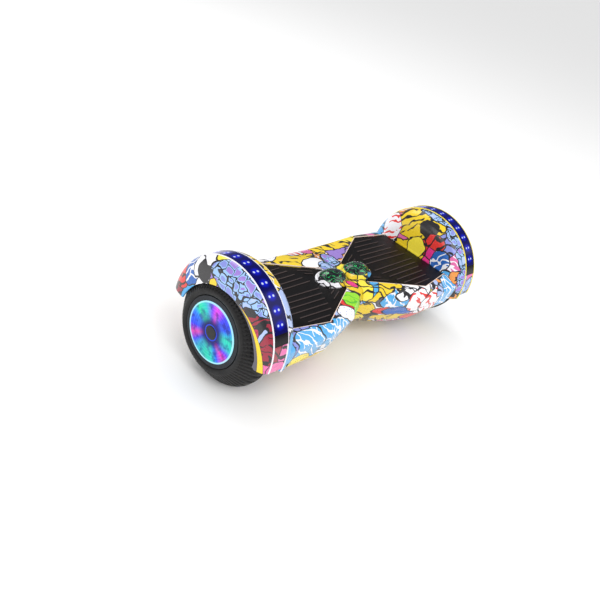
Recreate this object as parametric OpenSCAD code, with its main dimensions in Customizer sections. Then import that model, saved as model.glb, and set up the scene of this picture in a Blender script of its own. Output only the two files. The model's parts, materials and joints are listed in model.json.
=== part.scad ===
// Self balancing two-wheel hoverboard, millimetres.
// The board stands level on its tyres. X runs along the wheel axis, -Y is the front, +Z is up.
// The origin is on the ground under the middle of the board.

/* [Board] */
// Distance between the middles of the two tyres
track = 580; // [540:5:640]
// Height of the deck rim above the wheel axis
deck_rise = 38; // [36:1:46]
// Depth of the belly below the wheel axis
belly_drop = 58; // [56:1:70]
// Front to back width of each half at its widest
body_w = 226; // [200:2:230]
// Reach of the waist in front of the wheel axis
waist_front = 58; // [50:1:66]
// Reach of the waist behind the wheel axis
waist_rear = 107; // [70:1:110]
// Distance from the middle of the board to the widest place of each half
wide_x = 150; // [140:2:170]
// Gap between the two halves at the waist
half_gap = 3; // [2:0.5:6]

/* [Shells] */
// Wall of the shells
wall = 3; // [2:0.2:3.6]
// Width of the bevel along the deck's edges
deck_bevel = 6; // [3:0.5:8]
// Height of the seam between top and bottom shell, below the wheel axis
seam_drop = 12; // [10:0.5:16]
// Rise of the fender's middle above the wheel axis
fender_rise = 7.7; // [6:0.1:12]
// Clearance between the tread and the fender
fender_clear = 10.5; // [8:0.5:20]
// Share of the tyre's side, out from the rim, where the side panel's edge comes nearest
side_open_share = 0.49; // [0.49:0.01:0.64]
// Height of the fender's front end above the wheel axis
fender_front_z = -4; // [-10:1:4]
// Height of the fender's rear end above the wheel axis
fender_rear_z = 14; // [-10:1:20]
// Raised hood over each indicator: length, radius and top height above the wheel axis
hood_len = 76; // [66:1:84]
// Radius of the hood across the board
hood_r = 27; // [24:0.5:30]
// Height of the hood's top above the wheel axis
hood_top = 56; // [50:0.5:62]

/* [Wheels] */
// Outer diameter of the tyre
tyre_d = 203; // [168:1:244]
// Width of the tyre
tyre_w = 72; // [66:1:78]
// Radius of the rim under the tyre
rim_r = 62; // [58:1:66]
// Radius of the lit wheel cover
cover_r = 53.5; // [50:0.5:56]
// Radius of the hub cap
hub_cap_r = 12.5; // [11:0.5:16]
// Radius of the axle
axle_r = 8.5; // [7.5:0.5:9]
// Running clearance of every turning fit
running = 0.05; // [0.02:0.01:0.09]

/* [Foot pads] */
// Half width of the pad at its inner end
pad_in_y = 34; // [30:1:38]
// Half width of the pad at its widest
pad_wide_y = 97; // [85:1:98]
// Half width of the pad at its outer end
pad_out_y = 81; // [70:1:88]
// Thickness of the rubber
pad_t = 5; // [4:0.2:6]
// Travel of the pad when someone steps on it
pad_travel = 1.5; // [1:0.1:1.6]
// Gap around the pad
pad_gap = 0.6; // [0.4:0.1:1]

/* [Pivot] */
// Outer radius of the pivot tube
tube_r = 17; // [15:0.5:18]
// Wall of the pivot tube
tube_wall = 4; // [3:0.2:5]
// Twist of one half against the other, each way
twist_limit = 12; // [8:0.5:14]

/* [Lights] */
// Width of the light strip on the fender
strip_w = 31; // [26:0.5:31]
// Angle at which the strip starts above the horizontal
strip_start = 17.5; // [15:0.5:28]
// Number of light pairs on a strip
strip_pairs = 11; // [7:2:13]
// Angle between two light pairs
strip_pitch = 11.3; // [9:0.1:11.3]

// Share of the hood that its smoked lens covers
lens_share = 0.82; // [0.7:0.01:0.84]

/* [Inside] */
// Length of the battery pack
battery_l = 100; // [84:1:108]
// Width of the battery pack
battery_w = 66; // [55:1:68]
// Height of the battery pack
battery_h = 45; // [36:1:46]
// Thickness of the aluminium frame plate
plate_t = 5; // [4:0.5:6]
// Underside of the frame plate above the wheel axis
plate_z = 10; // [9.5:0.5:11]

/* [Hidden] */

$fn = 72;
far = 400;
axle_z = tyre_d / 2;
wheel_x = track / 2;
half_x = half_gap / 2;

// fender, measured about an axis fender_rise above the wheel axis
arch_r = tyre_d / 2 + fender_clear;
band_base_r = arch_r + wall;
band_r = band_base_r + 5;
ridge_r = band_r + 1;
ridge_w = 1.5;
band_x0 = wheel_x - 18;
band_x1 = band_x0 + 32;
arch_x = wheel_x - tyre_w / 2 - 10;
side_x = wheel_x + tyre_w / 2 - 4;
shoulder_r = arch_r - 26;
opening_y = -6;
opening_z = -11.5;
side_opening_r = rim_r + side_open_share * (tyre_d / 2 - rim_r) + norm([opening_y, opening_z]);
strip_x0 = (band_x0 + band_x1 - strip_w) / 2;
body_end_x = band_x0;

// pads
pad_x0 = 30;
pad_x1 = arch_x - wall - 1.5;
pad_top = deck_rise - 1.5;
rib_h = 1;
rib_w = 2.4;
rib_pitch = 14;
rib_rise = 14;
long_rib_x = [84, 216];
tray_t = 3;
tray_bottom = pad_top - rib_h - pad_t - tray_t;
stop_gap = 0.3;

// hood over the indicators
hood_x = half_x + hood_len / 2 - 4;
hood_z = hood_top - hood_r;
lens_t = 2.2;
lens_gap = 0.25;

// frame
plate_top = plate_z + plate_t;
boss_x0 = 14;
boss_x1 = 58;
boss_r = 24;
tube_end = 8;
bush_r = tube_r + running + 2;
twist_pin_r = 3;
twist_pin_x = 36;
pin_gap = 0.4;
block_x0 = arch_x - 54;
block_x1 = arch_x - 10;
block_y = 20;
clamp_h = 14;
clamp_gap = 0.5;
clamp_bolt_r = 2.5;
clamp_bolt_x = [block_x0 + 8, block_x1 - 8];
clamp_bolt_y = 14.5;
sensor_x0 = 92;
sensor_x1 = 188;
sensor_z = plate_top + 3;
standoff_r = 3;

// motor
rim_x0 = wheel_x - 32;
rim_x1 = wheel_x + 34;
rim_in_r = rim_r - 8;
face_x0 = wheel_x + 20;
face_x1 = face_x0 + 6;
bearing_r = 17.5;
bearing_w = 10;
inner_bearing_x = rim_x0 + 1;
outer_bearing_x = face_x1 - bearing_w - 2;
magnet_t = 4;
stator_r = rim_in_r - magnet_t - 1;
stator_x0 = inner_bearing_x + bearing_w + 3;
stator_x1 = outer_bearing_x - 2;
collar_r = axle_r + 2.5;
axle_x0 = block_x0 - 2;
axle_x1 = face_x1 - 1;
light_board_t = 1.6;
cover_x0 = wheel_x + 31.5;
cover_x1 = wheel_x + 35.5;

// screws
screw_r = 2;
screw_head_r = 3.5;
screw_head_h = 3;
screw_len = 28;
post_r = 5;
screw_clear = 0.2;
// shell screws: x, y and height of the head's seat
shell_spots = [[98, 68, -18], [98, -68, -18], [214, 90, -18], [214, -90, -18]];
// frame screws: x, y; their tips end at the top of the frame plate
frame_spots = [[46, 32], [46, -32], [200, 58], [200, -58]];
frame_seat = plate_top - screw_len;

// parts on the flat of the belly
port_x = 204;
port_y = 30;
port_r = 8;
port_flange_r = 11;
button_r = 6;
button_travel = 1.2;
bezel_r = 9;
trim_t = 1.5;
cap_t = 2;
cap_tab_w = 8;
cap_hinge_x = port_flange_r + 2;

// turns a shape drawn in Y and Z, and raised along Z, so that it is raised along X
module along_x() rotate([90, 0, 90]) children();

// puts a piece drawn for the right half, about the wheel axis, on either half
module on(side) {
    translate([0, 0, axle_z]) mirror([side == "left" ? 1 : 0, 0, 0]) children();
}

// round piece on the X axis from x0 to x1
module rod(x0, x1, r) along_x() translate([0, 0, x0]) cylinder(r = r, h = x1 - x0);

// ring on the X axis
module ring(x0, x1, r_in, r_out) {
    difference() {
        rod(x0, x1, r_out);
        rod(x0 - 1, x1 + 1, r_in);
    }
}

// block from one corner to the other
module block(a, b) translate(a) cube(b - a);

// where the body sections stand, and each section's reaches in front of and behind the wheel axis:
// at the deck, the belt, below the belt and the belly, and the depth of the belly
neck_x = 15;
shoulder_x = wide_x / 2 - 1;
neck = [
    [waist_front - 7, waist_front, waist_front - 9, waist_front - 24],
    [waist_rear - 7, waist_rear, waist_rear - 15, waist_rear - 45], belly_drop - 12
];
shoulder = [
    [body_w / 2 - 23, body_w / 2 - 16, body_w / 2 - 30, body_w / 2 - 53],
    [body_w / 2 - 11, body_w / 2 - 5, body_w / 2 - 17, body_w / 2 - 43], belly_drop - 4
];
wide_reach = [body_w / 2 - 7, body_w / 2, body_w / 2 - 7, body_w / 2 - 33];
wide = [wide_reach, wide_reach, belly_drop];
tail_reach = [pad_out_y + 9, band_r - 3, band_r - 12, band_r - 42];
tail = [tail_reach, tail_reach, belly_drop];
belt_z = deck_rise - 18;
low_z = -20;

// corners of one side of a body section, as [reach, height], inset by g
function corners(reach, depth, g) = [
    [reach[0] - deck_bevel - g, deck_rise - g], [reach[0] - g, deck_rise - 0.4 * deck_bevel - g],
    [reach[1] - g, belt_z], [reach[2] - g, low_z], [reach[3] - g / 2, g - depth]
];

// outline of a body section in Y and Z, inset by g
module section(s, g) {
    front = corners(s[0], s[2], g);
    rear = corners(s[1], s[2], g);
    polygon(concat([for (p = front) [-p[0], p[1]]], [for (i = [len(rear) - 1:-1:0]) rear[i]]));
}

module slab(x, thick, s, g) along_x() translate([0, 0, x]) linear_extrude(thick) section(s, g);

// one half of the body, inset by g, from x_start to x_end
module body_form(x_start, x_end, g) {
    intersection() {
        union() {
            hull() {
                slab(x_start, neck_x - x_start, neck, g);
                slab(shoulder_x, 0.01, shoulder, g);
            }
            hull() {
                slab(shoulder_x, 0.01, shoulder, g);
                slab(wide_x, 0.01, wide, g);
            }
            hull() {
                slab(wide_x, 0.01, wide, g);
                slab(body_end_x, 0.01, tail, g);
            }
        }
        block([x_start - 1, -far, -far], [x_end, far, far]);
    }
}

// points of a quarter ellipse
function quarter(cx, cr, a, b, from, to) =
    [for (i = [0:8]) let (t = from + (to - from) * i / 8) [cr + b * sin(t), cx + a * cos(t)]];

// fender section as [radius, x], turned about the fender's axis
module fender_turn(points) translate([0, 0, fender_rise]) along_x() rotate_extrude() polygon(points);

module fender_form() {
    fender_turn(concat(
        [[0, arch_x - wall]],
        quarter(band_x0, shoulder_r, arch_x - wall - band_x0, band_r - shoulder_r, 0, 90),
        quarter(band_x1, shoulder_r, side_x - band_x1, band_r - shoulder_r, 90, 0),
        [[0, side_x]]
    ));
    for (x = [band_x0 - ridge_w / 2, band_x1 - ridge_w / 2])
        fender_turn([[band_base_r, x], [ridge_r, x + 0.2], [ridge_r, x + ridge_w - 0.2], [band_base_r, x + ridge_w]]);
}

module wheel_space() {
    fender_turn(concat(
        [[0, arch_x]],
        quarter(band_x0, shoulder_r, arch_x - band_x0, arch_r - shoulder_r, 0, 90),
        quarter(band_x1, shoulder_r, side_x - wall - band_x1, arch_r - shoulder_r, 90, 0),
        [[0, side_x - wall]]
    ));
    translate([0, opening_y, opening_z]) rod(side_x - wall - 1, side_x + 5, side_opening_r);
}

// a stretch of the fender's light strip, from radius r0 to r1
module strip_ring(x0, x1, r0, r1, start) {
    translate([0, 0, fender_rise]) along_x() rotate([0, 0, start])
        rotate_extrude(angle = 180 - 2 * start) polygon([[r0, x0], [r1, x0], [r1, x1], [r0, x1]]);
}

// dome of a hood, inset by g
module hood_form(g) {
    translate([0, 0, hood_z]) along_x() translate([0, 0, hood_x]) rotate_extrude()
        polygon([for (i = [0:24]) let (t = -90 + i * 7.5)
            [(hood_r - g) * cos(t), (hood_len / 2 - g) * sin(t)]]);
}

// upright oval column through a hood
module oval(share, g, z0, z1) {
    translate([hood_x, 0, z0]) linear_extrude(z1 - z0)
        polygon([for (i = [0:47])
            [(hood_len / 2 * share + g) * cos(i * 7.5), (hood_r * share + g) * sin(i * 7.5)]]);
}

module pad_outline(g) {
    polygon([
        [pad_x0 - g, -pad_in_y - g], [wide_x - 2, -pad_wide_y - g], [pad_x1 + g, -pad_out_y - g],
        [pad_x1 + g, pad_out_y + g], [wide_x - 2, pad_wide_y + g], [pad_x0 - g, pad_in_y + g]
    ]);
}

module pad_form(g, z0, z1) {
    difference() {
        translate([0, 0, z0]) linear_extrude(z1 - z0) pad_outline(g);
        oval(1, 1 - g, z0 - 1, z1 + 1);
    }
}

// everything under the fender's front and rear ends
module under_fender() {
    along_x() translate([0, 0, body_end_x + ridge_w]) linear_extrude(far)
        polygon([[-far, fender_front_z], [-body_w / 4, fender_front_z], [body_w / 4, fender_rear_z],
            [far, fender_rear_z], [far, -far], [-far, -far]]);
}

module above_seam() translate([-far, -far, -seam_drop]) cube([2 * far, 2 * far, far]);
module below_seam() translate([-far, -far, -seam_drop - far]) cube([2 * far, 2 * far, far]);

// posts of the bottom shell that hold the frame
module at_frame_spots() for (s = frame_spots) translate([s[0], s[1], 0]) children();
module at_shell_spots() for (s = shell_spots) translate([s[0], s[1], 0]) children();

module top_shell_form() {
    difference() {
        union() {
            intersection() {
                union() {
                    difference() {
                        union() {
                            body_form(half_x, body_end_x, 0);
                            fender_form();
                        }
                        difference() {
                            body_form(half_x + wall, arch_x - wall, wall);
                            // ribs and posts for the shell screws stay
                            for (s = shell_spots) {
                                translate([s[0], s[1], -far / 2]) cylinder(r = post_r, h = far / 2 + 24);
                                block([s[0] - 1.5, min(s[1], sign(s[1]) * far), -far / 2],
                                    [s[0] + 1.5, max(s[1], sign(s[1]) * far), 24]);
                            }
                        }
                    }
                    intersection() {
                        hood_form(0);
                        block([half_x, -far, deck_rise - wall], [far, far, far]);
                    }
                }
                above_seam();
            }
        }
        wheel_space();
        under_fender();
        intersection() {
            hood_form(wall);
            block([half_x + wall, -far, 0], [far, far, far]);
        }
        pad_form(pad_gap, tray_bottom - 4, far);
        oval(lens_share, lens_gap, hood_z, far);
        strip_ring(strip_x0 - 0.2, strip_x0 + strip_w + 0.2, band_base_r, far, strip_start - 0.3);
        // slot that drops over the axle
        rod(arch_x - wall - 5, arch_x + 5, axle_r + 1);
        block([arch_x - wall - 5, -axle_r - 1, -far / 2], [arch_x + 5, axle_r + 1, 0]);
        rod(half_x - 1, half_x + wall + 1, tube_r + 2);
        for (s = shell_spots) translate([s[0], s[1], -seam_drop - 1]) cylinder(r = screw_r, h = 24);
    }
}

module bottom_shell_form() {
    difference() {
        intersection() {
            difference() {
                body_form(half_x, arch_x, 0);
                difference() {
                    body_form(half_x + wall, arch_x - wall, wall);
                    at_shell_spots() translate([0, 0, -far / 2]) cylinder(r = post_r, h = far);
                    at_frame_spots() translate([0, 0, -far / 2]) cylinder(r = post_r, h = far);
                }
            }
            below_seam();
        }
        rod(half_x - 1, half_x + wall + 1, tube_r + 2);
        for (s = shell_spots) {
            translate([s[0], s[1], -far / 2]) cylinder(r = screw_r + screw_clear, h = far);
            translate([s[0], s[1], -far / 2]) cylinder(r = screw_head_r + 0.3, h = far / 2 + s[2]);
        }
        at_frame_spots() {
            translate([0, 0, -far / 2]) cylinder(r = screw_r + screw_clear, h = far);
            translate([0, 0, -far / 2]) cylinder(r = screw_head_r + 0.3, h = far / 2 + frame_seat);
        }
    }
    // posts above the seam
    difference() {
        at_frame_spots() translate([0, 0, -seam_drop]) cylinder(r = post_r, h = plate_z + seam_drop);
        at_frame_spots() {
            translate([0, 0, -far / 2]) cylinder(r = screw_r + screw_clear, h = far);
            translate([0, 0, -far / 2]) cylinder(r = screw_head_r + 0.3, h = far / 2 + frame_seat);
        }
    }
}

module screw(seat) {
    translate([0, 0, seat - screw_head_h]) cylinder(r = screw_head_r, h = screw_head_h);
    translate([0, 0, seat - 0.5]) cylinder(r = screw_r, h = screw_len + 0.5);
}

module shell_screws() {
    for (s = shell_spots) translate([s[0], s[1], 0]) screw(s[2]);
    at_frame_spots() screw(frame_seat);
}

module frame_form(bore_r) {
    difference() {
        union() {
            translate([0, 0, plate_z]) linear_extrude(plate_t)
                polygon([[boss_x0, -32], [boss_x1 + 4, -40], [wide_x - 30, -60], [block_x1 + 2, -72],
                    [block_x1 + 2, 72], [wide_x - 30, 60], [boss_x1 + 4, 40], [boss_x0, 32]]);
            rod(boss_x0, boss_x1, boss_r);
            block([block_x0, -block_y, clamp_gap], [block_x1, block_y, plate_z]);
            for (x = [sensor_x0 + 6, sensor_x1 - 6], y = [-20, 20])
                translate([x, y, plate_top]) cylinder(r = standoff_r, h = sensor_z - plate_top);
            for (x = [74, pad_x1 - 16], y = [-30, 30])
                translate([x, y, plate_top - 0.5])
                    cylinder(r = 4, h = tray_bottom - pad_travel - stop_gap - plate_top + 0.5);
            for (x = [26, 46]) translate([x, 0, boss_r - 2]) cylinder(r = 3, h = deck_rise - 4 - boss_r + 2);
        }
        rod(boss_x0 - 1, boss_x1 + 1, bore_r);
        // room for the end of the tube, its circlip and the bush's flange
        rod(boss_x1, boss_x1 + tube_end + 2, bush_r + 4);
        rod(block_x0 - 1, block_x1 + 3, axle_r);
        at_frame_spots() translate([0, 0, plate_z - 1]) cylinder(r = screw_r, h = plate_t + 2);
        for (x = clamp_bolt_x, y = [-clamp_bolt_y, clamp_bolt_y])
            translate([x, y, -1]) cylinder(r = clamp_bolt_r, h = plate_top + 2);
    }
}

module left_frame_form() frame_form(tube_r);

module right_frame_form() {
    difference() {
        frame_form(bush_r);
        twist_slot(boss_r + 2);
    }
}

// slot that the twist pin runs in
module twist_slot(r_out) {
    pin_angle = asin((twist_pin_r + pin_gap) / tube_r);
    slot_w = 2 * (twist_pin_r + pin_gap);
    along_x() translate([0, 0, twist_pin_x - slot_w / 2]) rotate([0, 0, -90 - twist_limit - pin_angle])
        rotate_extrude(angle = 2 * (twist_limit + pin_angle))
            polygon([[tube_r - 2, 0], [r_out, 0], [r_out, slot_w], [tube_r - 2, slot_w]]);
}
module axle_form() {
    rod(axle_x0, axle_x1, axle_r);
    rod(inner_bearing_x + bearing_w + 0.5, outer_bearing_x - 0.5, collar_r);
}

module axle_clamp_form() {
    difference() {
        block([block_x0, -block_y, -clamp_h], [block_x1, block_y, -clamp_gap]);
        rod(block_x0 - 1, block_x1 + 1, axle_r);
        for (x = clamp_bolt_x, y = [-clamp_bolt_y, clamp_bolt_y])
            translate([x, y, -clamp_h - 1]) cylinder(r = clamp_bolt_r + 0.25, h = clamp_h + 2);
    }
}

module clamp_bolts_form() {
    for (x = clamp_bolt_x, y = [-clamp_bolt_y, clamp_bolt_y]) translate([x, y, 0]) {
        translate([0, 0, -clamp_h - 4]) cylinder(r = 4.2, h = 4);
        translate([0, 0, -clamp_h - 0.5]) cylinder(r = clamp_bolt_r, h = clamp_h + plate_top - 0.5);
    }
}

module stator_form() {
    teeth = 18;
    difference() {
        rod(stator_x0, stator_x1, stator_r);
        rod(stator_x0 - 1, stator_x1 + 1, collar_r);
        for (i = [0:teeth - 1]) rotate([i * 360 / teeth, 0, 0])
            block([stator_x0 - 1, -2, collar_r + 14], [stator_x1 + 1, 2, stator_r + 2]);
    }
}

module tyre_form() {
    r = tyre_d / 2;
    w = tyre_w / 2;
    h = r - rim_r;
    side = [
        [rim_r, w - 4], [rim_r + 2, w], [rim_r + 0.17 * h, w], [rim_r + 0.32 * h, w - 2.5],
        [rim_r + 0.5 * h, w - 8], [rim_r + 0.68 * h, w - 14], [rim_r + 0.85 * h, w - 19.5],
        [rim_r + 0.96 * h, w - 24], [r, w - 29]
    ];
    along_x() translate([0, 0, wheel_x]) rotate_extrude($fn = 128)
        polygon(concat(side, [for (i = [len(side) - 1:-1:0]) [side[i][0], -side[i][1]]]));
}

module rim_form() {
    ring(rim_x0, face_x1, rim_in_r, rim_r);
    ring(face_x1 - 0.5, rim_x1, cover_r, rim_r);
    ring(face_x0, face_x1, bearing_r, rim_in_r + 0.5);
    ring(outer_bearing_x - 1, face_x1, bearing_r, bearing_r + 5.5);
}

module motor_cover_form() {
    ring(rim_x0, rim_x0 + 6, bearing_r, rim_in_r);
    ring(rim_x0, inner_bearing_x + bearing_w, bearing_r, bearing_r + 5.5);
}

module magnets_form() {
    poles = 30;
    difference() {
        ring(stator_x0 - 1, stator_x1 + 1, rim_in_r - magnet_t, rim_in_r);
        for (i = [0:poles - 1]) rotate([i * 360 / poles, 0, 0])
            block([stator_x0 - 2, -0.6, rim_in_r - magnet_t - 2], [stator_x1 + 2, 0.6, rim_in_r + 2]);
    }
}

module wheel_bearings_form() {
    ring(inner_bearing_x, inner_bearing_x + bearing_w, axle_r + running, bearing_r);
    ring(outer_bearing_x, outer_bearing_x + bearing_w, axle_r + running, bearing_r);
}

module wheel_light_board_form() {
    lights = 12;
    ring(face_x1, face_x1 + light_board_t, bearing_r + 3, rim_in_r - 1);
    for (i = [0:lights - 1]) rotate([i * 360 / lights, 0, 0])
        block([face_x1 + light_board_t - 0.2, -2.5, 40], [face_x1 + light_board_t + 1.4, 2.5, 45]);
}

module wheel_light_cover_form() {
    ring(cover_x0, cover_x1, hub_cap_r, cover_r);
    ring(face_x1 + light_board_t, cover_x0 + 0.5, cover_r - 2, cover_r);
}

module hub_cap_form() {
    rod(face_x1, face_x1 + light_board_t, bearing_r + 2);
    rod(face_x1, cover_x1, hub_cap_r);
    rod(cover_x1 - 0.5, cover_x1 + 0.5, hub_cap_r - 1.5);
}

module strip_board_form() {
    strip_ring(strip_x0 + 1, strip_x0 + strip_w - 1, band_base_r, band_base_r + 1.2, strip_start + 0.6);
    first = 90 - strip_pitch * (strip_pairs - 1) / 2;
    translate([0, 0, fender_rise])
        for (i = [0:strip_pairs - 1], x = [-4, 4]) rotate([first + i * strip_pitch, 0, 0])
            translate([(band_x0 + band_x1) / 2 + x, band_base_r + 1.5, 0])
                cube([3.2, 1.4, 3.2], center = true);
}

module strip_lens_form() strip_ring(strip_x0, strip_x0 + strip_w, band_r - 2.4, band_r + 0.2, strip_start);

module indicator_lens_form() {
    intersection() {
        difference() {
            hood_form(0.3);
            hood_form(0.3 + lens_t);
        }
        oval(lens_share, 0, hood_z, far);
        block([half_x + wall, -far, 0], [far, far, far]);
    }
}

module indicator_board_form() {
    z = deck_rise - 4;
    block([20, -9, z], [54, 9, z + 1.6]);
    for (x = [26, 34, 42, 50]) block([x - 1.6, -1.6, z + 1.4], [x + 1.6, 1.6, z + 3]);
}

module sensor_board_form() {
    block([sensor_x0, -25, sensor_z], [sensor_x1, 25, sensor_z + 1.6]);
    for (x = [110, 170], y = [-6, 6]) block([x - 3, y - 2, sensor_z + 1.4], [x + 3, y + 2, sensor_z + 4]);
    block([134, -6, sensor_z + 1.4], [146, 6, sensor_z + 3]);
}

module foot_pad_form() {
    base = pad_top - rib_h;
    pad_form(0, base - pad_t, base);
    // raised ribs, clear of a plain patch in the middle
    intersection() {
        pad_form(-5, base - 0.5, pad_top);
        translate([0, 0, base - 0.5]) linear_extrude(rib_h + 0.5) {
            for (side = [-1, 1], i = [0:5]) polygon(rib(side,
                [long_rib_x[0] + i * 7, 11 + i * rib_pitch], [long_rib_x[1] - i * 6, 9 + i * rib_pitch]));
            for (side = [-1, 1], i = [0:4]) polygon(rib(side,
                [44 + i * 9, 20 + i * rib_pitch], [long_rib_x[0] - 8 + i * 7, 20 + i * rib_pitch + rib_rise]));
        }
    }
}

// four corners of one slanted rib from point a to point b, on either side of the middle
function rib(side, a, b) = [
    [a[0], side * a[1]], [b[0], side * b[1]],
    [b[0] + 1, side * (b[1] + rib_w)], [a[0] + 1, side * (a[1] + rib_w)]
];

module pad_tray_form() {
    pad_form(0, tray_bottom, tray_bottom + tray_t);
    for (x = [122, 158]) translate([x, 0, tray_bottom - 1.5]) cylinder(r = 4, h = 2);
}

module pivot_tube_form() {
    difference() {
        rod(-boss_x1, boss_x1 + tube_end, tube_r);
        rod(-boss_x1 - 1, boss_x1 + tube_end + 1, tube_r - tube_wall);
        along_x() translate([0, 0, boss_x1 + 3]) rotate_extrude()
            polygon([[tube_r - 1, 0], [tube_r + 1, 0], [tube_r + 1, 1.6], [tube_r - 1, 1.6]]);
        twist_pin_form();
    }
}

module twist_pin_form() {
    translate([twist_pin_x, 0, -boss_r + 0.5]) cylinder(r = twist_pin_r, h = boss_r - 0.5 - tube_r + tube_wall);
}

module pivot_bush_form() {
    difference() {
        union() {
            ring(boss_x0, boss_x1, tube_r + running, bush_r);
            ring(boss_x1, boss_x1 + 2, tube_r + running, bush_r + 3);
        }
        twist_slot(bush_r + 1);
    }
}

module pivot_circlip_form() ring(boss_x1 + 3, boss_x1 + 4.6, tube_r - 1, tube_r + 3.5);

module battery_form() {
    x = wide_x - 24 - battery_l / 2;
    block([x, -battery_w / 2, 3 - battery_h], [x + battery_l, battery_w / 2, 3]);
}

module battery_bracket_form() {
    x = wide_x - 40;
    difference() {
        block([x, -battery_w / 2 - 2, 1 - battery_h], [x + 30, battery_w / 2 + 2, plate_z]);
        block([x - 1, -battery_w / 2, 3 - battery_h], [x + 31, battery_w / 2, plate_z + 1]);
    }
}

module control_board_form() {
    z = plate_z - 6;
    block([80, -36, z - 1.6], [168, 36, z]);
    for (x = [96, 116], y = [-18, 18]) translate([x, y, z - 28]) cylinder(r = 8, h = 26.6);
    for (i = [0:3]) block([136, -32 + i * 17, z - 12], [148, -20 + i * 17, z - 1.4]);
}

module heat_spreader_form() block([84, -30, plate_z - 6], [164, 30, plate_z]);

module wiring_loom_form() {
    rod(-76, boss_x1 + 14, 6);
    block([-80, -12, -8], [-74, 12, 8]);
    block([boss_x1 + 12, -8, -5], [boss_x1 + 17, 8, 5]);
}

module at_port() translate([port_x, port_y, -belly_drop]) children();
module at_button() translate([port_x, -port_y, -belly_drop]) children();

module charge_port_form() {
    at_port() difference() {
        union() {
            translate([0, 0, -trim_t]) cylinder(r = port_flange_r, h = trim_t);
            cylinder(r = port_r, h = 20);
        }
        translate([0, 0, -trim_t - 1]) cylinder(r = port_r - 2, h = 13);
    }
    at_port() for (i = [0:2]) rotate([0, 0, i * 120]) translate([3, 0, 4]) cylinder(r = 0.9, h = 8);
}

module charge_port_cap_form() {
    at_port() {
        translate([0, 0, -trim_t - cap_t]) cylinder(r = port_flange_r, h = cap_t);
        translate([0, 0, -trim_t - 0.5]) cylinder(r = port_r - 3, h = 3);
        block([0, -cap_tab_w / 2, -trim_t - cap_t], [cap_hinge_x, cap_tab_w / 2, -trim_t]);
        translate([cap_hinge_x, -cap_tab_w / 2, -trim_t - cap_t / 2]) rotate([-90, 0, 0])
            cylinder(r = cap_t / 2, h = cap_tab_w);
    }
}

module power_button_form() at_button() translate([0, 0, -trim_t - 1]) cylinder(r = button_r, h = 10);

module button_bezel_form() {
    at_button() difference() {
        union() {
            translate([0, 0, -trim_t]) cylinder(r = bezel_r + 2, h = trim_t);
            cylinder(r = bezel_r, h = 14);
        }
        translate([0, 0, -trim_t - 1]) cylinder(r = button_r + 0.3, h = 13);
    }
}

module top_shell(side) color("gold") on(side) top_shell_form();
module bottom_shell(side) color("deepskyblue") on(side) bottom_shell_form();
module foot_pad(side) color([0.1, 0.08, 0.08]) on(side) foot_pad_form();
module pad_tray(side) color("dimgray") on(side) pad_tray_form();
module sensor_board(side) color("green") on(side) sensor_board_form();
module axle(side) color("silver") on(side) axle_form();
module axle_clamp(side) color("lightgray") on(side) axle_clamp_form();
module clamp_bolts(side) color("gray") on(side) clamp_bolts_form();
module stator(side) color("chocolate") on(side) stator_form();
module tyre(side) color([0.1, 0.1, 0.1]) on(side) tyre_form();
module rim(side) color("slategray") on(side) rim_form();
module motor_cover(side) color("gray") on(side) motor_cover_form();
module magnets(side) color("darkgray") on(side) magnets_form();
module wheel_bearings(side) color("lightsteelblue") on(side) wheel_bearings_form();
module wheel_light_board(side) color("white") on(side) wheel_light_board_form();
module wheel_light_cover(side) color([0.2, 0.5, 1]) on(side) wheel_light_cover_form();
module hub_cap(side) color([0.05, 0.05, 0.05]) on(side) hub_cap_form();
module strip_board(side) color("white") on(side) strip_board_form();
module strip_lens(side) color("navy") on(side) strip_lens_form();
module indicator_lens(side) color("darkslategray") on(side) indicator_lens_form();
module indicator_board(side) color("green") on(side) indicator_board_form();
module screws(side) color("gray") on(side) shell_screws();

module left_frame() color("silver") on("left") left_frame_form();

module left_bottom_shell() bottom_shell("left");

// the right bottom shell carries the charge port and the power button
module right_bottom_shell() {
    color("deepskyblue") on("right") difference() {
        bottom_shell_form();
        at_port() translate([0, 0, -5]) cylinder(r = port_r, h = 15);
        at_button() translate([0, 0, -5]) cylinder(r = bezel_r, h = 15);
    }
}

module right_frame() color("silver") on("right") right_frame_form();
module pivot_tube() color("silver") on("right") pivot_tube_form();
module pivot_bush() color("goldenrod") on("right") pivot_bush_form();
module pivot_circlip() color("gray") on("right") pivot_circlip_form();
module twist_pin() color("gray") on("right") twist_pin_form();
module battery_pack() color("royalblue") on("right") battery_form();
module battery_bracket() color("lightgray") on("right") battery_bracket_form();
module control_board() color("green") on("left") control_board_form();
module heat_spreader() color("silver") on("left") heat_spreader_form();
module wiring_loom() color([0.15, 0.15, 0.15]) on("right") wiring_loom_form();
module charge_port() color("gray") on("right") charge_port_form();
module charge_port_cap() color([0.1, 0.1, 0.1]) on("right") charge_port_cap_form();
module power_button() color("silver") on("right") power_button_form();
module button_bezel() color([0.2, 0.2, 0.2]) on("right") button_bezel_form();

for (side = ["left", "right"]) {
    top_shell(side);
    foot_pad(side);
    pad_tray(side);
    sensor_board(side);
    axle(side);
    axle_clamp(side);
    clamp_bolts(side);
    stator(side);
    tyre(side);
    rim(side);
    motor_cover(side);
    magnets(side);
    wheel_bearings(side);
    wheel_light_board(side);
    wheel_light_cover(side);
    hub_cap(side);
    strip_board(side);
    strip_lens(side);
    indicator_lens(side);
    indicator_board(side);
    screws(side);
}
left_bottom_shell();
right_bottom_shell();
left_frame();
right_frame();
pivot_tube();
pivot_bush();
pivot_circlip();
twist_pin();
battery_pack();
battery_bracket();
control_board();
heat_spreader();
wiring_loom();
charge_port();
charge_port_cap();
power_button();
button_bezel();
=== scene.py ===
import json
import math

import bmesh
import bpy
from mathutils import Matrix, Vector


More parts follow.
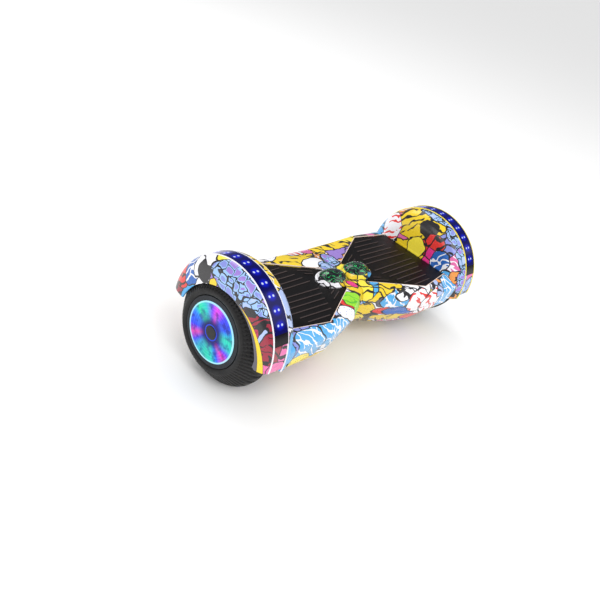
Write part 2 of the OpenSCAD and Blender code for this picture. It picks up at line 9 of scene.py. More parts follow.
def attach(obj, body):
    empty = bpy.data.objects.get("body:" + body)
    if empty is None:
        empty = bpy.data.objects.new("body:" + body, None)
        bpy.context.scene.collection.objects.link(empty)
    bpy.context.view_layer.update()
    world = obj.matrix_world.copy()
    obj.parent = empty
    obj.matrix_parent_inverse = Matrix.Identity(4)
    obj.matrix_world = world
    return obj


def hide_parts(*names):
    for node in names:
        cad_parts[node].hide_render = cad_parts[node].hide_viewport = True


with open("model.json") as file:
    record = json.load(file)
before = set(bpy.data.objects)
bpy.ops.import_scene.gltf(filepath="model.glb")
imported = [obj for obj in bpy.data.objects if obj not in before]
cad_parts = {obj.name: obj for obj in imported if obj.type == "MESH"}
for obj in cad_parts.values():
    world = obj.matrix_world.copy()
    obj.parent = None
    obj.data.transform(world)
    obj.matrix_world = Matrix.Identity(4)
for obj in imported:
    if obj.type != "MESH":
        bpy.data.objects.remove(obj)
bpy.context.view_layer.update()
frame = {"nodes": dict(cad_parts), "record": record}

sides = ("left", "right")
slotOf = {part["node"]: part["material_slot"] for part in frame["record"]["subparts"]}
axleZ = 0.1015
fenderZ = 0.1092
wheelX = 0.29
print("frame loaded,", len(frame["nodes"]), "nodes")


# a socket that can be used in sums
class Wire:
    def __init__(self, paint, socket):
        self.paint, self.socket = paint, socket

    def maths(self, operation, *others):
        return self.paint.maths(operation, self, *others)

    def __add__(self, other): return self.maths("ADD", other)
    def __radd__(self, other): return self.maths("ADD", other)
    def __sub__(self, other): return self.maths("SUBTRACT", other)
    def __rsub__(self, other): return self.paint.maths("SUBTRACT", other, self)
    def __mul__(self, other): return self.maths("MULTIPLY", other)
    def __rmul__(self, other): return self.maths("MULTIPLY", other)
    def __truediv__(self, other): return self.maths("DIVIDE", other)
    def __rtruediv__(self, other): return self.paint.maths("DIVIDE", other, self)
    def __lt__(self, other): return self.maths("LESS_THAN", other)
    def __gt__(self, other): return self.maths("GREATER_THAN", other)
    def __abs__(self): return self.maths("ABSOLUTE")


class Paint:
    def __init__(self, name):
        self.material = bpy.data.materials.new(name)
        self.material.use_nodes = True
        self.tree = self.material.node_tree
        self.shader = self.tree.nodes["Principled BSDF"]
        self.spot = self.node("TexCoord", out="Object")

    def node(self, kind, settings=None, values=None, out=0):
        made = self.tree.nodes.new("ShaderNode" + kind)
        for key, value in (settings or {}).items():
            if key == "stops":
                ramp = made.color_ramp
                while len(ramp.elements) < len(value):
                    ramp.elements.new(0.5)
                for stop, (place, colour) in zip(ramp.elements, value):
                    stop.position = place
                    stop.color = (*colour, 1)
            elif key == "blend":
                made.color_ramp.interpolation = value
            else:
                setattr(made, key, value)
        for key, value in (values or {}).items():
            if isinstance(value, Wire):
                self.tree.links.new(value.socket, made.inputs[key])
            else:
                made.inputs[key].default_value = value
        return Wire(self, made.outputs[out])

    def maths(self, operation, *values):
        return self.node("Math", dict(operation=operation), dict(enumerate(values)))

    def mix(self, share, low, high):
        low, high = [value if isinstance(value, Wire) else (*value, 1) for value in (low, high)]
        return self.node("Mix", dict(data_type="RGBA"), {0: share, 6: low, 7: high}, out=2)

    def vector(self, operation, *values, out=0):
        return self.node("VectorMath", dict(operation=operation), dict(enumerate(values)), out=out)

    def axes(self, spot=None):
        split = self.node("SeparateXYZ", None, {0: spot or self.spot})
        return [Wire(self, split.socket.node.outputs[i]) for i in range(3)]

    def noise(self, scale, detail=3.0, spot=None, out="Fac"):
        return self.node("TexNoise", None, {"Vector": spot or self.spot, "Scale": scale, "Detail": detail},
                         out=out)

    def cells(self, scale, feature="F1", metric="EUCLIDEAN", spot=None, out="Distance", loose=1.0):
        return self.node("TexVoronoi", dict(feature=feature, distance=metric),
                         {"Vector": spot or self.spot, "Scale": scale, "Randomness": loose}, out=out)

    # angular tiles: how far each point is from the joint between two tiles, and each tile's own colour
    def tiles(self, scale, metric, spot, loose):
        near = self.cells(scale, "F1", metric, spot, "Distance", loose)
        second = self.cells(scale, "F2", metric, spot, "Distance", loose)
        return second - near, self.cells(scale, "F1", metric, spot, "Color", loose)

    def ramp(self, wire, stops, blend="LINEAR"):
        return self.node("ValToRGB", dict(stops=stops, blend=blend), {0: wire})

    def between(self, wire, low, high):
        return self.node("MapRange", dict(interpolation_type="SMOOTHSTEP"),
                         {0: wire, 1: low, 2: high, 3: 0.0, 4: 1.0})

    # bands that wander across the surface
    def waves(self, direction, spot, scale, distortion, detail, detailScale):
        return self.node("TexWave", dict(wave_type="BANDS", bands_direction=direction),
                         {"Vector": spot, "Scale": scale, "Distortion": distortion, "Detail": detail,
                          "Detail Scale": detailScale}, out="Fac")

    def bump(self, height, strength, distance):
        return self.node("Bump", None, {"Strength": strength, "Distance": distance, "Height": height})

    def set(self, **sockets):
        for key, value in sockets.items():
            socket = self.shader.inputs[key.replace("_", " ")]
            if isinstance(value, Wire):
                self.tree.links.new(value.socket, socket)
            elif socket.type == "RGBA":
                socket.default_value = (*value, 1)
            else:
                socket.default_value = value
        return self.material


# a screen colour 0-255 as a linear one
def shade(red, reflectionStreak, blue):
    return tuple(round((part / 255) ** 2.2, 4) for part in (red, reflectionStreak, blue))


ink = shade(22, 18, 24)
yellow, lemon, orange = shade(240, 205, 15), shade(250, 228, 60), shade(240, 150, 60)
sky, cobalt, periwinkle = shade(70, 165, 225), shade(25, 95, 180), shade(130, 140, 215)
violet, pink, hotPink = shade(150, 120, 205), shade(225, 105, 165), shade(232, 45, 135)
crimson, red, white = shade(150, 16, 50), shade(225, 45, 38), shade(244, 243, 248)
lime, paleBlue, grey = shade(150, 225, 30), shade(170, 190, 235), shade(84, 80, 92)
# the second colour is a painted highlight along the foot pads' edges
blockRim, padRimHighlight = shade(150, 190, 240), shade(238, 214, 196)

printLook = dict(cellScale=17.0, warp=0.017, warpScale=34, outline=0.04, outlineBlur=0.02, blockScale=66,
                 blockGap=0.07, blockEdge=0.22, laneFrom=(0.86, 0.9), crossFrom=(0.9, 0.93),
                 strokeFrom=(0.40, 0.43), dotScale=190, dotSize=0.2, scrapsUnder=0.14, lacesOver=0.6,
                 strokesOver=0.4, patchOutline=1.6, cleanOutline=0.006, ridgeRadius=0.1193,
                 ridges=(0.272, 0.304), ridgeHalfWidth=0.0016, padRim=0.0019, padRimInside=-0.002,
                 deck=0.1378, grain=0.08, roughness=0.24, coat=0.3, coatRoughness=0.06)
# corners of a foot pad, from the middle: inner end, widest place, outer end
padCorners = ((0.030, 0.034), (0.148, 0.097), (0.2395, 0.081))

# patches of the print: middle (mm, from the middle of the board and the wheel axis), reach, fill,
# colour of the detail, detail
leftPatches = [
    ((-70, 90, 36), (60, 34, 14), yellow, ink, "strokes"),
    ((-40, 104, 36), (30, 16, 12), white, red, "strokes"),
    ((-120, 104, 30), (40, 14, 14), white, ink, "strokes"),
    ((-10, 98, 32), (17, 18, 22), pink, hotPink, "plain"),
    ((-30, 56, 38), (26, 14, 10), white, white, "plain"),
    ((-20, -4, 46), (26, 38, 18), yellow, ink, "strokes"),
    ((-8, 36, 42), (20, 16, 18), paleBlue, periwinkle, "blocks"),
    ((-12, -40, 30), (20, 26, 22), yellow, ink, "strokes"),
    ((-10, -30, 36), (8, 12, 8), hotPink, ink, "plain"),
    ((-50, -66, 8), (26, 26, 60), lime, shade(90, 190, 30), "laces"),
    ((-22, -50, -20), (16, 20, 30), orange, ink, "strokes"),
    ((-92, -90, 20), (28, 22, 26), white, periwinkle, "dots"),
    ((-150, -104, 14), (66, 32, 25), sky, white, "laces"),
    ((-205, -106, 12), (36, 26, 32), sky, white, "laces"),
    ((-222, -104, -26), (34, 30, 26), lemon, ink, "dots"),
    ((-175, -100, -34), (60, 32, 17), yellow, ink, "dots"),
    ((-260, -112, -4), (16, 18, 60), sky, cobalt, "plain"),
    # fender, outer side
    ((-316, 104, 22), (22, 16, 24), crimson, ink, "strokes"),
    ((-316, 98, 48), (22, 20, 22), red, ink, "strokes"),
    ((-316, 78, 74), (22, 18, 30), cobalt, white, "laces"),
    ((-312, 66, 88), (22, 14, 22), white, ink, "plain"),
    ((-318, 52, 86), (12, 16, 18), ink, grey, "plain"),
    ((-306, 44, 112), (20, 34, 12), white, orange, "plain"),
    ((-302, 16, 122), (20, 30, 9), lemon, orange, "plain"),
    ((-312, -12, 104), (30, 52, 26), periwinkle, violet, "blocks"),
    ((-314, -66, 88), (26, 24, 17), periwinkle, paleBlue, "blocks"),
    ((-318, 26, 80), (8, 9, 8), yellow, yellow, "plain"),
    ((-318, -74, 72), (26, 30, 14), ink, crimson, "strokes"),
    ((-314, -96, 40), (30, 34, 46), crimson, ink, "strokes"),
    ((-318, -88, 62), (20, 9, 18), ink, crimson, "plain"),
    ((-320, -84, 34), (14, 14, 30), shade(176, 26, 84), crimson, "strokes"),
    ((-318, -99, 52), (12, 5, 20), paleBlue, ink, "plain"),
    ((-306, -110, 44), (20, 12, 26), crimson, ink, "strokes"),
    ((-312, -114, 14), (22, 24, 22), crimson, ink, "strokes"),
    ((-310, -112, -6), (24, 26, 20), pink, hotPink, "strokes"),
    ((-292, -122, -2), (20, 18, 18), pink, hotPink, "plain"),
    ((-322, -20, -15), (90, 96, 96), yellow, yellow, "clean"),
    ((-322, -11, -12.5), (90, 95, 95), grey, grey, "clean"),
]
rightPatches = [
    ((60, 98, 30), (70, 26, 18), yellow, ink, "strokes"),
    ((120, 104, 30), (30, 20, 16), lemon, ink, "strokes"),
    ((14, 92, 34), (16, 24, 18), yellow, ink, "strokes"),
    ((12, 50, 36), (18, 22, 12), paleBlue, violet, "blocks"),
    ((20, -4, 46), (26, 40, 18), lemon, ink, "strokes"),
    ((12, -10, 38), (10, 12, 14), yellow, ink, "plain"),
    ((16, -44, 26), (20, 22, 20), lemon, ink, "strokes"),
    ((20, -52, -8), (22, 26, 18), yellow, ink, "strokes"),
    ((44, -66, 14), (13, 26, 12), grey, white, "plain"),
    ((70, -88, 16), (36, 24, 20), sky, white, "laces"),
    ((92, -92, 28), (26, 18, 10), white, ink, "strokes"),
    ((60, -76, -10), (26, 30, 10), red, ink, "plain"),
    ((92, -90, -12), (40, 26, 12), cobalt, sky, "plain"),
    ((128, -102, 12), (28, 22, 26), white, red, "strokes"),
    ((172, -106, 4), (34, 22, 30), white, red, "strokes"),
    ((196, -104, 22), (18, 20, 12), paleBlue, ink, "strokes"),
    ((226, -104, 6), (26, 26, 38), sky, white, "laces"),
    ((90, -84, -36), (60, 30, 13), yellow, ink, "strokes"),
    ((160, -94, -40), (40, 30, 13), red, orange, "plain"),
    ((216, -96, -40), (30, 30, 15), yellow, ink, "strokes"),
    # fender, inner side
    ((246, 30, 96), (34, 40, 40), yellow, ink, "strokes"),
    ((246, 76, 62), (30, 27, 30), white, red, "strokes"),
    ((246, -8, 100), (12, 20, 16), ink, crimson, "plain"),
    ((246, -36, 84), (16, 24, 16), red, ink, "strokes"),
    ((244, 2, 52), (14, 22, 24), lemon, ink, "plain"),
    ((246, -62, 52), (18, 22, 26), cobalt, white, "laces"),
    ((250, -86, 14), (20, 22, 32), sky, white, "laces"),
    ((252, -104, 38), (12, 12, 15), orange, ink, "strokes"),
    ((266, -10, 122), (12, 44, 10), paleBlue, periwinkle, "blocks"),
    ((264, -60, 104), (12, 36, 17), paleBlue, periwinkle, "blocks"),
    ((264, -92, 74), (12, 20, 26), violet, paleBlue, "blocks"),
    ((266, -112, 36), (13, 16, 34), paleBlue, violet, "blocks"),
    ((300, -122, 6), (30, 20, 30), paleBlue, periwinkle, "blocks"),
    ((310, -40, 110), (12, 70, 22), lemon, red, "plain"),
    ((316, 30, 96), (18, 40, 30), pink, ink, "blocks"),
    ((316, -90, 50), (18, 40, 34), yellow, ink, "strokes"),
    ((316, 90, 40), (18, 30, 34), sky, white, "laces"),
]


# equal steps of colour for a ramp
def steps(colours):
    return [(i / len(colours), colour) for i, colour in enumerate(colours)]


def printedFilm(name, patches, ridgeColour):
    look = printLook
    paint = Paint(name)
    drift = paint.vector("SUBTRACT", paint.noise(look["warpScale"], 2, out="Color"), (0.5, 0.5, 0.5))
    spot = paint.vector("ADD", paint.spot, paint.vector("MULTIPLY", drift, (look["warp"],) * 3))
    # loose cells under everything
    edge, cell = paint.tiles(look["cellScale"], "MANHATTAN", spot, 1.0)
    pick = paint.axes(cell)
    inks = (yellow, white, periwinkle, lemon, sky, pink, yellow, white, red, paleBlue, ink, yellow, violet,
            hotPink, orange)
    ground = paint.ramp(pick[0], steps(inks), "CONSTANT")
    # details that the patches draw from
    fineEdge, fine = paint.tiles(look["blockScale"], "CHEBYCHEV", spot, 0.75)
    blockCore = fineEdge > look["blockGap"]
    blockEdge = fineEdge > look["blockEdge"]
    blockTone = paint.axes(fine)[0]
    lanes = paint.waves("DIAGONAL", spot, 26.0, 7.0, 1.0, 1.4)
    cross = paint.waves("X", spot, 30.0, 9.0, 1.0, 1.0)
    laces = paint.maths("MAXIMUM", paint.between(lanes, *look["laneFrom"]),
                        paint.between(cross, *look["crossFrom"]) * (paint.noise(30, 1) > 0.5))
    strokes = paint.between(lanes * paint.noise(46, 2, spot), *look["strokeFrom"])
    dots = paint.cells(look["dotScale"], loose=0.5) < look["dotSize"]
    masks = dict(laces=laces, strokes=strokes, dots=dots)
    scrapTone = paint.ramp(blockTone, steps((yellow, paleBlue, ink, white, orange)), "CONSTANT")
    scraps = paint.mix(blockCore, ink, scrapTone)
    ground = paint.mix(pick[1] < look["scrapsUnder"], ground, scraps)
    ground = paint.mix(laces * (pick[2] > look["lacesOver"]), ground, white)
    ground = paint.mix(strokes * (pick[1] > look["strokesOver"]), ground, ink)
    inside = paint.between(edge, look["outline"], look["outline"] + look["outlineBlur"])
    colour = paint.mix(inside, ink, ground)
    for middle, reach, fill, other, detail in patches:
        centre = Vector(middle) / 1000 + Vector((0, 0, axleZ))
        place = paint.spot if detail == "clean" else spot
        away = paint.vector("SUBTRACT", place, tuple(centre))
        far = paint.vector("LENGTH", paint.vector("DIVIDE", away, tuple(Vector(reach) / 1000)), out="Value")
        face = fill
        if detail == "blocks":
            face = paint.mix(blockEdge, blockRim, paint.mix(blockTone > 0.5, fill, other))
            face = paint.mix(blockCore, ink, face)
        elif detail in masks:
            face = paint.mix(masks[detail], fill, other)
        rim = look["cleanOutline"] if detail == "clean" else look["patchOutline"] / min(reach)
        colour = paint.mix(far < 1 + rim, colour, ink)
        colour = paint.mix(far < 1.0, colour, face)
    # pale ridges beside the light strip, and a painted highlight round each foot pad, where the deck's edge
    # would catch the light
    x, y, z = paint.axes()
    rise = z - fenderZ
    outer = paint.maths("SQRT", y * y + rise * rise) > look["ridgeRadius"]
    for ridge in look["ridges"]:
        onRidge = outer * (abs(abs(x) - ridge) < look["ridgeHalfWidth"])
        colour = paint.mix(onRidge, colour, ridgeColour)
    innerX, endX = padCorners[0][0], padCorners[-1][0]
    reaches = []
    for (fromX, fromY), (toX, toY) in zip(padCorners, padCorners[1:]):
        length = math.hypot(toX - fromX, toY - fromY)
        reaches.append(((abs(y) - fromY) * (toX - fromX) - (abs(x) - fromX) * (toY - fromY)) / length)
    outside = paint.maths("MAXIMUM", *reaches)
    # painted highlight: a cream line just outside each foot pad, standing in for light on the deck's edge
    rimHighlight = (outside < look["padRim"]) * (z > look["deck"]) * (abs(x) > innerX) * (abs(x) < endX)
    rimHighlight = rimHighlight * (outside > look["padRimInside"])
    colour = paint.mix(rimHighlight, colour, padRimHighlight)
    grain = paint.noise(900, 2)
    colour = paint.mix(grain * look["grain"], colour, (0.5, 0.5, 0.5))
    return paint.set(Base_Color=colour, Roughness=look["roughness"] + paint.noise(60) * 0.08,
                     Coat_Weight=look["coat"], Coat_Roughness=look["coatRoughness"],
                     Normal=paint.bump(paint.noise(240, 2), 0.04, 0.0004))


# base colour, second colour, share of it, scale of the mottling, roughness, metallic, bump strength,
# bump scale
finishes = dict(
    cast_aluminium=(shade(186, 188, 191), shade(150, 152, 156), 0.5, 60, 0.45, 1.0, 0.25, 700),
    black_plastic=(shade(13, 13, 15), shade(26, 26, 29), 0.5, 90, 0.42, 0.0, 0.2, 900),
    steel=(shade(190, 190, 193), shade(150, 150, 155), 0.6, 140, 0.28, 1.0, 0.15, 1200),
    zinc_steel=(shade(196, 200, 205), shade(170, 172, 160), 0.6, 160, 0.35, 1.0, 0.1, 800),
    motor_iron=(shade(150, 84, 42), shade(90, 52, 32), 0.6, 220, 0.5, 0.7, 0.5, 500),
    rim_metal=(shade(40, 43, 48), shade(60, 63, 68), 0.5, 80, 0.4, 0.6, 0.2, 900),
    magnet_steel=(shade(176, 178, 184), shade(140, 142, 150), 0.5, 120, 0.22, 1.0, 0.1, 600),
    bronze=(shade(190, 142, 80), shade(150, 104, 56), 0.6, 200, 0.4, 1.0, 0.3, 1500),
    battery_wrap=(shade(40, 90, 190), shade(26, 60, 140), 0.5, 40, 0.3, 0.0, 0.3, 120),
    cable_sleeve=(shade(22, 22, 24), shade(50, 50, 54), 0.6, 600, 0.7, 0.0, 0.6, 900),
    port_metal=(shade(196, 196, 200), shade(160, 160, 168), 0.5, 150, 0.2, 1.0, 0.1, 700),
    cap_rubber=(shade(20, 20, 21), shade(36, 36, 38), 0.5, 120, 0.6, 0.0, 0.3, 900),
    button_metal=(shade(205, 206, 210), shade(170, 172, 180), 0.5, 150, 0.25, 1.0, 0.1, 1000),
    tyre=(shade(14, 12, 12), shade(27, 25, 24), 0.4, 46, 0.6, 0.0, 0.35, 1100),
)


def plainFinish(name, base, second, share, scale, rough, metal, bump, bumpScale):
    paint = Paint(name)
    mottle = paint.between(paint.noise(scale, 5), 0.35, 0.7)
    speck = paint.noise(scale * 9, 2)
    colour = paint.mix(mottle * share, base, second)
    colour = paint.mix(speck * 0.12, colour, second)
    return paint.set(Base_Color=colour, Metallic=metal, Roughness=rough + mottle * 0.12 - 0.06,
                     Normal=paint.bump(paint.noise(bumpScale, 3), bump, 0.0006))


def circuitBoard(name, mask, tracks, parts):
    paint = Paint(name)
    lanes = paint.node("TexBrick", dict(offset=0.3),
                       {"Vector": paint.spot, "Scale": 150.0, "Mortar Size": 0.04}, out="Fac")
    pads = paint.cells(260, loose=0.1) < 0.2
    colour = paint.mix(lanes, mask, tracks)
    colour = paint.mix(pads, colour, parts)
    return paint.set(Base_Color=colour, Roughness=0.35 + pads * 0.1, Normal=paint.bump(lanes, 0.3, 0.0002))


# the tops of the ribs are painted a little paler, a painted highlight on the raised ribs
padLook = dict(ribTop=0.1379, ribFade=0.0003, highlightShare=0.7, roughness=0.5)


def padRubber(name):
    paint = Paint(name)
    height = paint.axes()[2]
    cloud = paint.between(paint.noise(26, 4), 0.35, 0.75)
    colour = paint.mix(cloud * 0.5, shade(15, 10, 10), shade(29, 21, 20))
    # painted highlight: the rib tops are lightened by height, standing in for light catching the raised ribs
    ribTopHighlight = paint.between(height, padLook["ribTop"] - padLook["ribFade"], padLook["ribTop"])
    colour = paint.mix(ribTopHighlight * padLook["highlightShare"], colour, shade(84, 72, 70))
    return paint.set(Base_Color=colour, Roughness=padLook["roughness"] + cloud * 0.1, Specular_IOR_Level=0.3,
                     Normal=paint.bump(paint.cells(1300), 0.3, 0.0003))


stripLook = dict(bandX=0.288, pairs=11, pitch=11.3, pairGap=0.0042, dot=0.0021, glow=0.0125, radius=0.1175,
                 strength=1.0)


def stripLens(name):
    look = stripLook
    paint = Paint(name)
    x, y, z = paint.axes()
    turn = paint.maths("ARCTAN2", y, z - fenderZ) * (180 / math.pi)
    slot = paint.maths("ROUND", turn / look["pitch"])
    along = (turn - slot * look["pitch"]) * (math.pi / 180 * look["radius"])
    across = abs(x) - look["bandX"]
    lit = abs(slot) < look["pairs"] / 2
    near = paint.maths("SQRT", paint.maths("POWER", abs(across) - look["pairGap"], 2.0) + along * along)
    wide = paint.maths("SQRT", across * across + along * along * 1.4)
    dot = (1 - paint.between(near, look["dot"] * 0.6, look["dot"] * 1.25)) * lit
    halo = (1 - paint.between(wide, 0.001, look["glow"])) * lit
    wash = (abs(turn) < (look["pairs"] / 2 + 0.1) * look["pitch"])
    navy = paint.mix(paint.noise(160) * 0.5, shade(1, 1, 34), shade(3, 4, 56))
    colour = paint.mix(wash, ink, navy)
    glow = paint.mix(wash, (0, 0, 0), shade(2, 2, 84))
    glow = paint.mix(halo * 0.85, glow, shade(14, 30, 225))
    glow = paint.mix(dot, glow, shade(214, 230, 255))
    return paint.set(Base_Color=colour, Roughness=0.16 + paint.noise(300) * 0.04, Specular_IOR_Level=0.25,
                     Emission_Color=glow, Emission_Strength=look["strength"])


wheelLook = dict(rimRadius=0.0535, strength=1.0, ringWaves=62.0, wander=0.03, blots=0.7, hub=0.27,
                 hueFrom=(0.28, 0.66), edgeFrom=(0.93, 0.97))
# colours once round the cover, from the bottom through the front, the top and the rear
wheelHues = [
    (0.0, shade(0, 190, 160)), (0.05, shade(0, 205, 185)), (0.10, shade(15, 80, 240)),
    (0.155, shade(228, 40, 170)), (0.19, shade(90, 40, 230)), (0.23, shade(0, 190, 190)),
    (0.29, shade(0, 205, 170)), (0.36, shade(15, 70, 240)), (0.43, shade(60, 40, 240)),
    (0.495, shade(228, 50, 222)), (0.54, shade(120, 50, 235)), (0.59, shade(0, 190, 190)),
    (0.66, shade(0, 218, 150)), (0.71, shade(10, 110, 235)), (0.78, shade(25, 40, 240)),
    (0.835, shade(222, 45, 165)), (0.88, shade(60, 40, 220)), (0.93, shade(0, 170, 190)),
    (1.0, shade(0, 190, 160)),
]


def wheelLight(name):
    look = wheelLook
    paint = Paint(name)
    x, y, z = paint.axes()
    up = z - axleZ
    radius = paint.maths("SQRT", y * y + up * up) / look["rimRadius"]
    turn = paint.maths("ARCTAN2", y, up) / (2 * math.pi) + 0.5  # 0.5 at the top, less towards the front
    turn = turn + (paint.noise(40, 1) - 0.5) * look["wander"]
    hue = paint.ramp(turn, wheelHues)
    deep = paint.mix(paint.between(radius, *look["hueFrom"]), shade(4, 6, 96), hue)
    deep = paint.mix(radius < look["hub"], deep, shade(24, 64, 210))
    fromAxle = paint.vector("SUBTRACT", paint.spot, (0, 0, axleZ))
    rings = paint.node("TexWave", dict(wave_type="RINGS", rings_direction="X"),
                       {"Vector": fromAxle, "Scale": look["ringWaves"], "Distortion": 0.0}, out="Fac")
    deep = paint.mix(rings * 0.10 * paint.between(radius, 0.3, 0.9), deep, shade(150, 215, 255))
    blot = paint.between(paint.noise(90, 2), 0.45, 0.7)
    deep = paint.mix(blot * look["blots"], deep, shade(2, 8, 120))
    band = (1 - paint.between(abs(radius - 0.55), 0.02, 0.16)) * 0.08
    deep = paint.mix(band, deep, shade(120, 200, 255))
    glow = paint.mix(paint.between(radius, *look["edgeFrom"]), deep, shade(170, 235, 250))
    return paint.set(Base_Color=paint.mix(0.8, deep, ink), Roughness=0.14 + blot * 0.06,
                     Specular_IOR_Level=0.3, Emission_Color=glow, Emission_Strength=look["strength"],
                     Normal=paint.bump(rings, 0.15, 0.0006))


def indicatorLens(name):
    paint = Paint(name)
    smoke = paint.mix(paint.between(paint.noise(120, 4), 0.4, 0.65), shade(18, 22, 24), shade(44, 52, 54))
    # painted reflection: pale green diagonal streaks across the smoked lens, made to glow a little, stand in
    # for reflections
    streak = paint.waves("DIAGONAL", paint.spot, 34.0, 14.0, 3.0, 2.0)
    reflectionStreak = paint.between(streak, 0.965, 0.99)
    glow = paint.mix(reflectionStreak, (0, 0, 0), shade(30, 160, 80))
    return paint.set(Base_Color=paint.mix(reflectionStreak, smoke, shade(50, 200, 110)), Roughness=0.12 + reflectionStreak * 0.1,
                     Coat_Weight=0.4, Emission_Color=glow, Emission_Strength=0.15)


materials = {slot: plainFinish(slot, *values) for slot, values in finishes.items()}
materials["circuit_board"] = circuitBoard("circuit_board", shade(14, 92, 44), shade(40, 140, 70),
                                          shade(190, 190, 180))
materials["light_board"] = circuitBoard("light_board", shade(226, 230, 235), shade(190, 196, 205),
                                        shade(250, 246, 210))
materials["pad_rubber"] = padRubber("pad_rubber")
materials["strip_lens"] = stripLens("strip_lens")
materials["wheel_light"] = wheelLight("wheel_light")
materials["indicator_lens"] = indicatorLens("indicator_lens")
film = dict(left=printedFilm("film_left", leftPatches, white),
            right=printedFilm("film_right", rightPatches, lemon))
print("materials made")

for nodeName, piece in frame["nodes"].items():
    if slotOf[nodeName] == "printed_shell":
        material = film[nodeName.split("_")[0]]
    else:
        material = materials[slotOf[nodeName]]
    if piece.material_slots:
        for place in piece.material_slots:
            place.material = material
    else:
        piece.data.materials.append(material)


# a finished mesh as a piece that rides on a body
def settle(mesh, name, body, material):
    data = bpy.data.meshes.new(name)
    mesh.to_mesh(data)
    mesh.free()
    piece = bpy.data.objects.new(name, data)
    bpy.context.scene.collection.objects.link(piece)
    data.materials.append(material)
    data.polygons.foreach_set("use_smooth", [True] * len(data.polygons))
    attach(piece, body)
    return piece


shellLook = dict(edge=0.0016, padEdge=0.0004, segments=3, sharp=24.0, flat=0.6)


# a copy of a node with its flat faces joined and its sharp edges rounded
def rounded(node, name, body, material, edge):
    mesh = bmesh.new()
    mesh.from_mesh(frame["nodes"][node].data)
    bmesh.ops.remove_doubles(mesh, verts=mesh.verts, dist=1e-5)
    bmesh.ops.dissolve_limit(mesh, angle_limit=math.radians(shellLook["flat"]), verts=mesh.verts,
                             edges=mesh.edges, delimit={"NORMAL"})
    piece = settle(mesh, name, body, material)
    bevel = piece.modifiers.new("edges", "BEVEL")
    bevel.width, bevel.segments = edge, shellLook["segments"]
    bevel.limit_method, bevel.angle_limit = "ANGLE", math.radians(shellLook["sharp"])
    bevel.harden_normals = True
    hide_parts(node)


for side in sides:
    for level in ("top", "bottom"):
        node = f"{side}_{level}_shell"
        rounded(node, f"{node}_film", f"{side}_half", film[side], shellLook["edge"])
    node = f"{side}_foot_pad"
    rounded(node, f"{node}_ribbed", f"{side}_pad", materials["pad_rubber"], shellLook["padEdge"])
print("shells rounded")

tyreLook = dict(steps=144, grooveFrom=0.0968, grooveEvery=4, grooveDepth=0.0018, ribsFrom=0.0755,
                ribsTo=0.0965, ribDepth=0.0007, lip=0.0003)
# half the tyre's outline: radius and distance from the wheel's middle plane
tyreProfile = [
    (0.0621, 0.031), (0.0640, 0.0345), (0.0700, 0.0357), (0.0745, 0.0340), (0.0790, 0.0305), (0.0835, 0.0263),
    (0.0880, 0.0220), (0.0925, 0.0180), (0.0965, 0.0140), (0.0995, 0.0095), (0.1012, 0.0050), (0.1014, 0.0),
]


def tyre(side):
    look = tyreLook
    middle = wheelX if side == "right" else -wheelX
    mesh = bmesh.new()
    points = tyreProfile + [(r, -w) for r, w in tyreProfile[-2::-1]]
    verts = [mesh.verts.new((middle + w, 0, axleZ + r)) for r, w in points]
    edges = [mesh.edges.new(pair) for pair in zip(verts, verts[1:])]
    edges.append(mesh.edges.new((verts[-1], verts[0])))
    bmesh.ops.spin(mesh, geom=verts + edges, cent=(middle, 0, axleZ), axis=(1, 0, 0), angle=2 * math.pi,
                   steps=look["steps"], use_merge=True, use_duplicate=False)
    bmesh.ops.remove_doubles(mesh, verts=mesh.verts, dist=1e-6)
    bmesh.ops.recalc_face_normals(mesh, faces=mesh.faces)

    def place(face):
        centre = face.calc_center_median()
        turn = math.atan2(centre.y, centre.z - axleZ) / (2 * math.pi) * look["steps"]
        return math.hypot(centre.y, centre.z - axleZ), int(math.floor(turn + 0.01)), centre.x - middle

    grooves, ribs = [], []
    for face in mesh.faces:
        radius, step, off = place(face)
        shift = 1 if off > 0 else 0  # the two halves of the tread are staggered
        if radius > look["grooveFrom"] and (step + shift) % look["grooveEvery"] == 0:
            grooves.append(face)
        elif look["ribsFrom"] < radius < look["ribsTo"] and step % 2 == 0:
            ribs.append(face)
    for chosen, depth in ((grooves, look["grooveDepth"]), (ribs, look["ribDepth"])):
        bmesh.ops.inset_individual(mesh, faces=chosen, thickness=look["lip"], depth=-depth,
                                   use_even_offset=True)
    piece = settle(mesh, f"{side}_tyre_tread", f"{side}_wheel", materials["tyre"])
    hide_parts(f"{side}_tyre")


for side in sides:
    tyre(side)
print("tyres made")

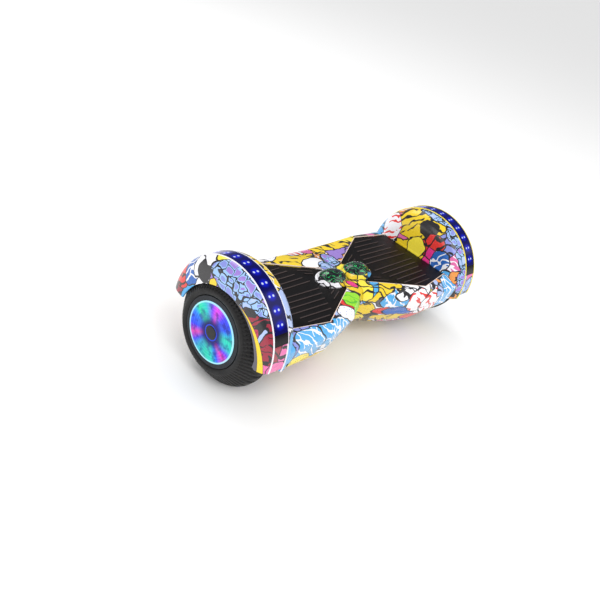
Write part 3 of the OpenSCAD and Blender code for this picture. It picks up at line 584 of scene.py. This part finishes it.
camera = bpy.data.objects.new("camera", bpy.data.cameras.new("camera"))
bpy.context.scene.collection.objects.link(camera)
cameraPlace = (-1.06475, -0.65209, 0.79981)
right = Vector((0.67172, -0.68686, 0.27751))
up = Vector((0.21783, 0.54118, 0.81221))
back = Vector((-0.70806, -0.48513, 0.51314))
camera.matrix_world = Matrix.Translation(cameraPlace) @ Matrix((right, up, back)).transposed().to_4x4()
camera.data.lens, camera.data.sensor_width = 44.16, 36
camera.data.clip_start, camera.data.clip_end = 0.01, 100
bpy.context.scene.camera = camera

floorMesh = bmesh.new()
bmesh.ops.create_grid(floorMesh, x_segments=2, y_segments=2, size=14)
floorData = bpy.data.meshes.new("floor")
floorMesh.to_mesh(floorData)
floorMesh.free()
floor = bpy.data.objects.new("floor", floorData)
floor.location.z = -0.0003
bpy.context.scene.collection.objects.link(floor)
floorPaint = Paint("floor")
floorPaint.set(Base_Color=(0.93, 0.93, 0.93), Roughness=0.9, Specular_IOR_Level=0.1)
floorData.materials.append(floorPaint.material)

world = bpy.data.worlds.new("studio")
world.use_nodes = True
tree = world.node_tree
tree.nodes["Background"].inputs["Color"].default_value = (1, 1, 1, 1)
tree.nodes["Background"].inputs["Strength"].default_value = 0.85
# reflections see a dimmer room, so that black stays black
dim = tree.nodes.new("ShaderNodeBackground")
dim.inputs["Color"].default_value = (0.86, 0.9, 1, 1)
dim.inputs["Strength"].default_value = 0.22
path, either = tree.nodes.new("ShaderNodeLightPath"), tree.nodes.new("ShaderNodeMixShader")
tree.links.new(path.outputs["Is Glossy Ray"], either.inputs[0])
tree.links.new(tree.nodes["Background"].outputs[0], either.inputs[1])
tree.links.new(dim.outputs[0], either.inputs[2])
tree.links.new(either.outputs[0], tree.nodes["World Output"].inputs[0])
bpy.context.scene.world = world
# place, size, watts
lamps = dict(
    key=((-1.1, -1.6, 2.3), 1.4, 26),
    fill=((1.6, -1.5, 1.6), 1.8, 12),
    back=((0.4, 2.0, 2.2), 1.6, 18),
    side=((-2.4, 0.3, 1.0), 1.2, 9),
)
for name, (place, size, watts) in lamps.items():
    lamp = bpy.data.lights.new(name, "AREA")
    lamp.shape, lamp.size, lamp.energy = "SQUARE", size, watts
    stand = bpy.data.objects.new(name, lamp)
    stand.location = place
    stand.rotation_euler = (Vector((0, 0, 0.08)) - Vector(place)).to_track_quat("-Z", "Y").to_euler()
    bpy.context.scene.collection.objects.link(stand)
bpy.context.scene.view_settings.view_transform = "Standard"
print("stage set")
